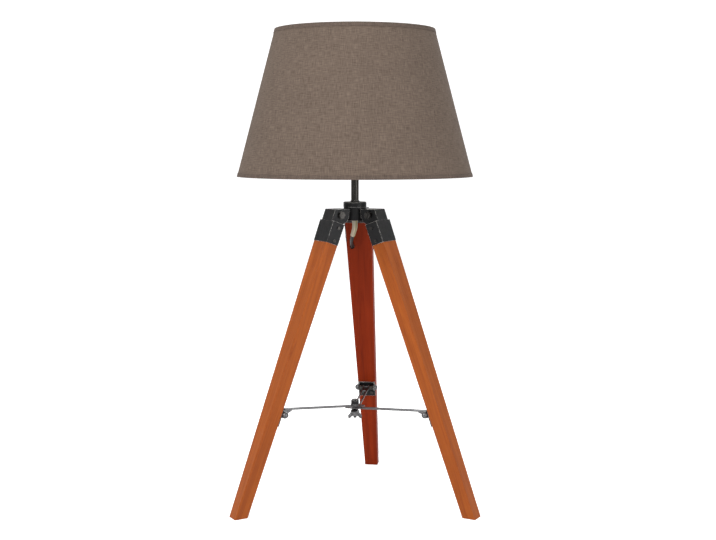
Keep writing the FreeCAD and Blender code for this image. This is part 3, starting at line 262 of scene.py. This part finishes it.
class Effects:
    """The node groups that the materials share, each made once."""

    def __init__(self) -> None:
        self.made: dict[Use, bpy.types.NodeTree] = {}
        self.builders = {Use.MOTTLE: self.mottle, Use.EDGE_WEAR_AND_HIGHLIGHT: self.edge_wear_and_highlight, Use.LINEN: self.linen,
                         Use.WOOD: self.wood, Use.STRIPED: self.striped, Use.GLASS: self.mottle}

    def get(self, use: Use) -> bpy.types.NodeTree:
        """The group of an effect.

        Args:
            use: The effect.

        Returns:
            Its node group, built on the first call.
        """
        if use not in self.made:
            tree = bpy.data.node_groups.new(f"{use.value}_effect", "ShaderNodeTree")
            for name, kind in (("Base", "Color"), ("Second", "Color"), ("Low", "Float"),
                               ("High", "Float"), ("Scale", "Float"), ("Depth", "Float"),
                               ("Place", "Vector"), ("Turn", "Vector")):
                tree.interface.new_socket(name, in_out="INPUT", socket_type=f"NodeSocket{kind}")
            for name, kind in (("Color", "Color"), ("Roughness", "Float"), ("Normal", "Vector")):
                tree.interface.new_socket(name, in_out="OUTPUT", socket_type=f"NodeSocket{kind}")
            graph = Graph(tree)
            given = graph.add("NodeGroupInput")
            out = graph.add("NodeGroupOutput")
            results = self.builders[use](graph, given.outputs)
            for name, socket in zip(("Color", "Roughness", "Normal"), results):
                graph.feed(out.inputs[name], socket)
            self.made[use] = tree
        return self.made[use]

    @staticmethod
    def mottle(graph: Graph, given: bpy.types.NodeOutputs) -> tuple:
        """Soft patches in colour and gloss, over a fine relief."""
        place = graph.add("ShaderNodeTexCoord").outputs["Object"]
        patches = graph.noise(place, given["Scale"], 5.0, 0.3)
        wide = graph.noise(place, 22.0, 2.0)
        share = graph.between(patches, 0.0, 1.0, 0.35, 0.65)
        gloss = graph.between(graph.sum("ADD", patches, wide), given["Low"], given["High"],
                              0.8, 1.2)
        return (graph.mix(share, given["Base"], given["Second"]), gloss,
                graph.relief(patches, given["Depth"]))

    @staticmethod
    def edge_wear_and_highlight(graph: Graph, given: bpy.types.NodeOutputs) -> tuple:
        """Paint that is pale along its edges: some paint wear, and a painted highlight on every
        edge.
        """
        place = graph.add("ShaderNodeTexCoord").outputs["Object"]
        rounded = graph.add("ShaderNodeBevel", {"samples": 6}, Radius=WEAR_AND_HIGHLIGHT_WIDTH)
        flat = graph.add("ShaderNodeNewGeometry").outputs["Normal"]
        apart = graph.add("ShaderNodeVectorMath", {"operation": "DOT_PRODUCT"})
        graph.feed(apart.inputs[0], rounded.outputs[0])
        graph.feed(apart.inputs[1], flat)
        edge = graph.between(apart.outputs["Value"], 1.0, 0.0, 0.86, 0.985)
        patches = graph.noise(place, given["Scale"], 5.0, 0.4)
        # Pale colour along the edges: paint wear, and a painted highlight.
        wear_and_highlight_share = graph.sum("MULTIPLY", edge, graph.between(patches, 0.15, 1.0, 0.40, 0.60))
        gloss = graph.between(patches, given["Low"], given["High"], 0.35, 0.65)
        height = graph.sum("SUBTRACT", patches, wear_and_highlight_share)
        bump = graph.add("ShaderNodeBump", None, Height=height, Distance=given["Depth"],
                         Strength=1.0, Normal=rounded.outputs[0])
        return (graph.mix(wear_and_highlight_share, given["Base"], given["Second"]), gloss, bump.outputs["Normal"])

    @staticmethod
    def linen(graph: Graph, given: bpy.types.NodeOutputs) -> tuple:
        """A plain weave round the shade: slubby threads up it and across it."""
        spot = graph.add("ShaderNodeSeparateXYZ", None,
                         Vector=graph.add("ShaderNodeTexCoord").outputs["Object"]).outputs
        across = graph.sum("MULTIPLY", graph.sum("ARCTAN2", spot["Y"], spot["X"]),
                           SHADE_MEAN_RADIUS)
        place = graph.add("ShaderNodeCombineXYZ", None, X=across, Y=spot["Z"]).outputs[0]
        threads = []
        for along, factors in ((across, (1150.0, 105.0, 1.0)), (spot["Z"], (105.0, 1150.0, 1.0))):
            wave = graph.sum("SINE", graph.sum("MULTIPLY", along, 2 * math.pi / THREAD_PITCH))
            slub = graph.noise(graph.stretched(place, factors), 1.0, 3.0)
            threads.append(graph.sum("ADD", graph.sum("MULTIPLY", wave, 0.10),
                                     graph.between(slub, 0.0, 1.0, 0.28, 0.72)))
        height = graph.sum("MULTIPLY", graph.sum("ADD", *threads), 0.5)
        soft = graph.noise(place, 26.0, 2.0)
        share = graph.sum("ADD", height, graph.between(soft, -0.04, 0.04, 0.3, 0.7))
        share = graph.between(share, 0.0, 1.0, 0.1, 0.9)
        gloss = graph.between(height, given["Low"], given["High"])
        return (graph.mix(share, given["Base"], given["Second"]), gloss,
                graph.relief(height, given["Depth"]))

    @staticmethod
    def wood(graph: Graph, given: bpy.types.NodeOutputs) -> tuple:
        """Long grain in the frame of one leg, with fine pores."""
        seen = graph.add("ShaderNodeTexCoord").outputs["Object"]
        local = graph.add("ShaderNodeMapping", {"vector_type": "TEXTURE"}, Vector=seen,
                          Location=given["Place"], Rotation=given["Turn"]).outputs[0]
        grain = graph.noise(graph.stretched(local, (95.0, 95.0, 4.0)), 1.0, 6.0, 0.8)
        broad = graph.noise(graph.stretched(local, (30.0, 30.0, 1.6)), 1.0, 3.0, 1.2)
        pores = graph.noise(graph.stretched(local, (1100.0, 1100.0, 40.0)), 1.0, 2.0)
        lines = graph.sum("ABSOLUTE", graph.sum("SINE", graph.sum("MULTIPLY", broad, 42.0)))
        share = graph.sum("ADD", graph.between(grain, 0.0, 0.6, 0.35, 0.68),
                          graph.between(lines, 0.28, 0.0, 0.0, 0.5))
        share = graph.sum("ADD", share, graph.between(pores, 0.22, 0.0, 0.30, 0.42))
        share = graph.between(share, 0.0, 1.0)
        gloss = graph.between(grain, given["Low"], given["High"], 0.3, 0.7)
        height = graph.sum("SUBTRACT", graph.between(pores, 0.0, 1.0, 0.28, 0.42), share)
        return (graph.mix(share, given["Base"], given["Second"]), gloss,
                graph.relief(height, given["Depth"]))

    @staticmethod
    def striped(graph: Graph, given: bpy.types.NodeOutputs) -> tuple:
        """A plain sleeve, darker and yellower in a band down the side whose surface faces +x."""
        place = graph.add("ShaderNodeTexCoord").outputs["Object"]
        side = graph.add("ShaderNodeSeparateXYZ", None,
                         Vector=graph.add("ShaderNodeNewGeometry").outputs["Normal"]).outputs["X"]
        strip = graph.sum("MULTIPLY", graph.between(side, 0.0, 1.0, 0.15, 0.3),
                          graph.between(side, 1.0, 0.0, 0.72, 0.85))
        patches = graph.noise(place, given["Scale"], 4.0)
        return (graph.mix(strip, given["Base"], given["Second"]),
                graph.between(patches, given["Low"], given["High"]),
                graph.relief(patches, given["Depth"]))


class Palette:
    """Makes each finish's material once, and hands it to pieces."""

    def __init__(self) -> None:
        self.effects = Effects()
        self.made: dict[tuple[str, str], bpy.types.Material] = {}

    def material(self, finish: Finish, side: str = "") -> bpy.types.Material:
        """The material of a finish.

        Args:
            finish: The finish.
            side: The leg whose frame the effect follows, if it follows one.

        Returns:
            The material, made on the first call.
        """
        key = (finish.name, side)
        if key not in self.made:
            material = bpy.data.materials.new("_".join(filter(None, key)))
            material.use_nodes = True
            graph = Graph(material.node_tree)
            shader = next(n for n in graph.tree.nodes if n.type == "BSDF_PRINCIPLED")
            effect = graph.add("ShaderNodeGroup", {"node_tree": self.effects.get(finish.use)},
                               Base=finish.base, Second=finish.second, Low=finish.rough[0],
                               High=finish.rough[1], Scale=finish.scale, Depth=finish.bump)
            if side:
                azimuth = math.radians(LEG_AZIMUTHS[side])
                effect.inputs["Place"].default_value = (
                    HINGE_RADIUS * math.cos(azimuth), HINGE_RADIUS * math.sin(azimuth),
                    HINGE_HEIGHT)
                effect.inputs["Turn"].default_value = (0.0, -math.radians(LEG_TILT), azimuth)
            graph.feed(shader.inputs["Base Color"], effect.outputs["Color"])
            graph.feed(shader.inputs["Roughness"], effect.outputs["Roughness"])
            graph.feed(shader.inputs["Normal"], effect.outputs["Normal"])
            shader.inputs["Metallic"].default_value = finish.metallic
            shader.inputs["Specular IOR Level"].default_value = finish.specular
            shader.inputs["Coat Weight"].default_value = finish.coat
            if finish.use is Use.GLASS:
                shader.inputs["Transmission Weight"].default_value = 1.0
                shader.inputs["IOR"].default_value = 1.45
            self.made[key] = material
        return self.made[key]

    def paint(self, thing: bpy.types.Object, finish: Finish, side: str = "") -> None:
        """Gives an object one finish in place of what it has."""
        thing.data.materials.clear()
        thing.data.materials.append(self.material(finish, side))


@dataclass
class SubAssembly:
    """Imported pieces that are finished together.

    Args:
        palette: The materials.
        nodes: The frame's pieces by name.
        finishes: The finish of each piece.
    """

    palette: Palette
    nodes: dict[str, bpy.types.Object]
    finishes: dict[str, Finish]

    def dress(self) -> None:
        """Gives each piece its finish and smooth faces."""
        for name, finish in self.finishes.items():
            self.dress_one(name, finish)

    def dress_one(self, name: str, finish: Finish, side: str = "") -> None:
        """Finishes one piece, in a leg's frame where a side is given."""
        piece = self.nodes[name]
        self.palette.paint(piece, finish, side)
        piece.data.shade_smooth()
        piece.data.set_sharp_from_angle(angle=math.radians(SHARP_ANGLE))


class Leg(SubAssembly):
    """One leg: wood, cap, bracket, screws, pin, spacers and strap."""

    def __init__(self, palette: Palette, nodes: dict[str, bpy.types.Object], side: str,
                 wood: Finish) -> None:
        self.side = side
        self.wood = wood
        super().__init__(palette, nodes, {
            f"leg_{side}_cap": BLACK_PAINT, f"leg_{side}_bracket": BLACK_PAINT,
            f"leg_{side}_screws": BLACK_ZINC, f"strap_{side}_pin": DARK_STEEL,
            f"strap_{side}_spacers": BLACK_ZINC, f"strap_{side}": DARK_STEEL})

    def dress(self) -> None:
        """Finishes the fittings, and the wood with its grain along the leg."""
        super().dress()
        self.dress_one(f"leg_{self.side}_wood", self.wood, self.side)


def two_turns(start: Vector, end: Vector, heading: Vector) -> list[Vector]:
    """The two control points of an S-shaped piece whose ends point the same way.

    Args:
        start: Its first point.
        end: Its last point.
        heading: The direction of both ends, of length one.

    Returns:
        The control points between the ends.
    """
    span = end - start
    reach = span.dot(span) / (4 * span.dot(heading))
    return [start + heading * reach, end - heading * reach]


@dataclass(frozen=True)
class Hank:
    """The put-away lead: five runs out and four back, in two layers of turns.

    Args:
        run: The length between the folds.
        folds: The radius of the folds of the inner and the outer layer.
        pitch: The step from turn to turn, side by side.
        waist: What the tie draws each run in.
        middle: The hank's middle in plan.
    """

    run: float = 0.088
    folds: tuple[float, float] = (0.0135, 0.0189)
    pitch: float = 0.0053
    waist: float = 0.0045
    middle: tuple[float, float] = (0.0242, 0.271)

    def controls(self) -> list[Vector]:
        """The control points of the hank's line, from its first run to its last."""
        turns = ((-1, 0, 0, 0, 3), (0, 0, 1, 0, 3), (1, 0, 1, 1, 2), (1, 1, 0, 1, 1))
        low = self.middle[1] - self.run / 2
        points: list[Vector] = []
        for column, layer, after, climb, place in turns:
            x, radius = self.column(column), self.folds[layer]
            points += self.out_run(x, radius, low) + self.fold(x, radius, 1)
            knots = [self.spot(x, radius, low + self.run, 1)]
            for part in (1, 2, 3):
                moved = part >= place
                knots.append(self.spot(
                    self.column(after) if moved else x,
                    (self.folds[climb] if moved else radius) - (self.waist if part < 3 else 0.0),
                    low + self.run * (1 - part / 3), 1))
            points += self.joined(knots, Vector((0.0, -1.0, 0.0)))
            points += self.fold(self.column(after), self.folds[climb], -1)
        return points + self.out_run(self.column(0), self.folds[1], low)

    def column(self, number: int) -> float:
        """The x of a column of turns."""
        return self.middle[0] + number * self.pitch

    def spot(self, x: float, radius: float, y: float, side: int) -> Vector:
        """A point over (side 1) or under (side -1) the hank's middle level."""
        return Vector((x, y, LEAD_RADIUS + self.folds[1] + side * radius))

    def out_run(self, x: float, radius: float, low: float) -> list[Vector]:
        """The control points of a run along the table, drawn in at the waist."""
        spots = [self.spot(x, radius - (self.waist if part in (1, 2) else 0.0),
                           low + self.run * part / 3, -1) for part in range(4)]
        return self.joined(spots, Vector((0.0, 1.0, 0.0)))

    @staticmethod
    def joined(knots: list[Vector], heading: Vector) -> list[Vector]:
        """The control points between the knots of one run."""
        return [p for a, b in zip(knots, knots[1:]) for p in two_turns(a, b, heading)]

    def fold(self, x: float, radius: float, end: int) -> list[Vector]:
        """The control points of a half circle at an end of the hank: 1 far, -1 near."""
        y = self.middle[1] + end * self.run / 2
        level = LEAD_RADIUS + self.folds[1]
        out = radius / math.cos(math.pi / 8)
        return [Vector((x, y + end * out * math.sin(angle), level - end * out * math.cos(angle)))
                for angle in (math.pi * (2 * step + 1) / 8 for step in range(4))]


@dataclass
class MainsLead:
    """The lead outside the stem, drawn as two smooth lines with the switch between them.

    Args:
        palette: The materials.
        nodes: The frame's pieces by name.
    """

    palette: Palette
    nodes: dict[str, bpy.types.Object]

    def build(self) -> None:
        upper = self.line("lead_to_switch", [Vector(p) for p in LEAD_ROUTE])
        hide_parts("flex_lead")
        points = [Vector(p) for p in LOWER_ROUTE] + Hank().controls()
        points += [Vector(p) for p in TAIL_ROUTE]
        lower = self.line("lead_to_plug", points)
        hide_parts("flex_runs", "flex_hank", "flex_tail")

    def line(self, name: str, points: list[Vector]) -> bpy.types.Object:
        """A smooth round line through the controls of a route.

        Args:
            name: The new object's name.
            points: Its control points.

        Returns:
            The curve object, which rides on the lamp's fixed body.
        """
        curve = bpy.data.curves.new(name, "CURVE")
        curve.dimensions = "3D"
        curve.bevel_depth = LEAD_RADIUS
        curve.bevel_resolution = 5
        curve.use_fill_caps = True
        spline = curve.splines.new("NURBS")
        spline.points.add(len(points) - 1)
        for spot, point in zip(spline.points, points):
            spot.co = (*point, 1.0)
        spline.order_u = 3
        spline.resolution_u = 8
        spline.use_endpoint_u = True
        thing = bpy.data.objects.new(name, curve)
        bpy.context.scene.collection.objects.link(thing)
        curve.materials.append(self.palette.material(SHEATH))
        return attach(thing, "root")

    @staticmethod
    def length(points: list) -> float:
        """The length of the smooth line that a list of control points draws."""
        spots = [Vector(p) for p in points]
        joins = [spots[0], *((a + b) / 2 for a, b in zip(spots[1:-2], spots[2:-1])), spots[-1]]
        total = 0.0
        for start, control, end in zip(joins, spots[1:-1], joins[1:]):
            steps = [start * (1 - t) ** 2 + control * 2 * t * (1 - t) + end * t * t
                     for t in (step / 16 for step in range(17))]
            total += sum((b - a).length for a, b in zip(steps, steps[1:]))
        return total


@dataclass(frozen=True)
class Softbox:
    """A rectangular light that faces a point.

    Args:
        name: The light's name.
        place: Where it is.
        size: Its width and height.
        power: Its power in watts.
    """

    name: str
    place: Point
    size: tuple[float, float]
    power: float

    def build(self) -> None:
        """Adds the light, aimed at the lamp's middle."""
        light = bpy.data.lights.new(self.name, "AREA")
        light.shape = "RECTANGLE"
        light.size, light.size_y = self.size
        light.energy = self.power
        thing = bpy.data.objects.new(self.name, light)
        thing.location = self.place
        aim = Vector((0.0, 0.0, 0.3)) - thing.location
        thing.rotation_euler = aim.to_track_quat("-Z", "Y").to_euler()
        bpy.context.scene.collection.objects.link(thing)


class Studio:
    """The camera, the soft lights and the plain pale floor."""

    LIGHTS = (
        Softbox("key", (-1.5, -1.7, 1.9), (1.2, 1.2), 52.0),
        Softbox("fill", (1.8, -1.5, 1.1), (1.2, 1.6), 24.0),
        Softbox("top", (0.0, 0.1, 2.4), (1.6, 1.6), 26.0),
        Softbox("rear", (0.5, 1.9, 1.3), (1.6, 1.0), 12.0),
    )

    def camera(self) -> None:
        """Puts the camera where the photograph was taken from."""
        lens = bpy.data.cameras.new("camera")
        lens.sensor_width = 36.0
        lens.lens = 59.09
        lens.clip_start, lens.clip_end = 0.05, 30.0
        thing = bpy.data.objects.new("camera", lens)
        thing.location = (0.0, -1.5068, 0.4646)
        thing.rotation_euler = (math.radians(90.0 - 6.2), 0.0, math.radians(-0.15))
        bpy.context.scene.collection.objects.link(thing)
        bpy.context.scene.camera = thing

    def floor(self) -> None:
        """Makes the floor, which curves up far behind the lamp."""
        profile = [(-6.0, 0.0), (3.0, 0.0)]
        profile += [(3.0 + math.sin(a), 1.0 - math.cos(a))
                    for a in (math.pi * step / 24 for step in range(1, 13))]
        profile.append((4.0, 5.0))
        mesh = bpy.data.meshes.new("floor")
        corners = [(x, y, z - FLOOR_DROP) for y, z in profile
                   for x in (-FLOOR_HALF_WIDTH, FLOOR_HALF_WIDTH)]
        faces = [(2 * n, 2 * n + 1, 2 * n + 3, 2 * n + 2) for n in range(len(profile) - 1)]
        mesh.from_pydata(corners, [], faces)
        mesh.shade_smooth()
        thing = bpy.data.objects.new("floor", mesh)
        bpy.context.scene.collection.objects.link(thing)
        material = bpy.data.materials.new("floor")
        material.use_nodes = True
        shader = next(n for n in material.node_tree.nodes if n.type == "BSDF_PRINCIPLED")
        shader.inputs["Base Color"].default_value = (0.80, 0.80, 0.80, 1.0)
        shader.inputs["Roughness"].default_value = 0.8
        shader.inputs["Emission Color"].default_value = (1.0, 1.0, 1.0, 1.0)
        graph = Graph(material.node_tree)
        seen = graph.add("ShaderNodeLightPath").outputs["Is Camera Ray"]
        graph.feed(shader.inputs["Emission Strength"], graph.between(seen, 0.05, 0.62))
        mesh.materials.append(material)

    def world(self) -> None:
        """Fills the room with even pale light."""
        world = bpy.data.worlds.new("studio")
        world.use_nodes = True
        back = next(n for n in world.node_tree.nodes if n.type == "BACKGROUND")
        back.inputs["Color"].default_value = (1.0, 1.0, 1.0, 1.0)
        graph = Graph(world.node_tree)
        seen = graph.add("ShaderNodeLightPath").outputs["Is Camera Ray"]
        graph.feed(back.inputs["Strength"], graph.between(seen, 0.36, 1.0))
        bpy.context.scene.world = world
        bpy.context.scene.view_settings.view_transform = "Standard"

    def build(self) -> None:
        """Makes the camera, the floor, the room's light and the lights."""
        self.camera()
        self.floor()
        self.world()
        for light in self.LIGHTS:
            light.build()


class Lamp:
    """The whole lamp on its frame."""

    def __init__(self, frame: dict) -> None:
        self.nodes = frame["nodes"]
        self.palette = Palette()

    def plain(self, finishes: dict[str, Finish]) -> SubAssembly:
        """A sub-assembly of pieces that need a finish and nothing more."""
        return SubAssembly(self.palette, self.nodes, finishes)

    def parts(self) -> list[SubAssembly]:
        """The lamp's sub-assemblies, the lead left out."""
        hub = {"hub_body": BLACK_PAINT, "hub_lid": BLACK_PAINT, "stem_collar": BLACK_PAINT,
               "stem_tube": DARK_CHROME, "stem_lock_nut": ZINC, "hinge_screws": BLACK_ZINC,
               "hinge_nuts": BLACK_ZINC, "cord_sleeve": CREAM, "stem_lead": SHEATH}
        holder = {"holder_cap": BLACK_PAINT, "holder_shell": BLACK_PLASTIC,
                  "holder_insert": PORCELAIN, "socket_sleeve": BRASS, "socket_contact": BRASS,
                  "shade_ring": BLACK_PLASTIC}
        bulb = {"bulb_glass": GLASS, "bulb_cap": NICKEL, "bulb_insulator": PORCELAIN,
                "bulb_contact": NICKEL, "bulb_filaments": AMBER}
        shade = {"shade_fabric": LINEN, "shade_liner": LINER, "shade_trims": RIM,
                 "shade_top_ring": WHITE_PAINT, "shade_spider": WHITE_PAINT}
        clamp = {"stretcher_bolt": BLACK_PAINT, "stretcher_washers": DARK_STEEL,
                 "wing_nut": DARK_STEEL}
        on_lead = {"hank_tie": BLACK_PLASTIC, "switch_case": BLACK_PLASTIC,
                   "switch_cover": BLACK_PLASTIC, "switch_rocker": BLACK_PLASTIC,
                   "plug_body": BLACK_PLASTIC, "plug_pins": NICKEL}
        # The back leg takes the darker copy of the wood, which is painted shade.
        legs = [Leg(self.palette, self.nodes, side, SHADED_BACK_WOOD if side == "back" else WOOD)
                for side in LEG_AZIMUTHS]
        return [*map(self.plain, (hub, holder, bulb, shade, clamp, on_lead)), *legs]

    def build(self) -> None:
        """Draws the lead and finishes every piece."""
        MainsLead(self.palette, self.nodes).build()
        for part in self.parts():
            part.dress()
        for name in ("flex_lead", "flex_runs", "flex_hank", "flex_tail"):
            self.palette.paint(self.nodes[name], SHEATH)


def main() -> None:
    """Builds the scene."""
    logging.basicConfig(level=logging.INFO)
    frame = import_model()
    Studio().build()
    Lamp(frame).build()
    bpy.context.view_layer.update()


if __name__ == "__main__":
    main()
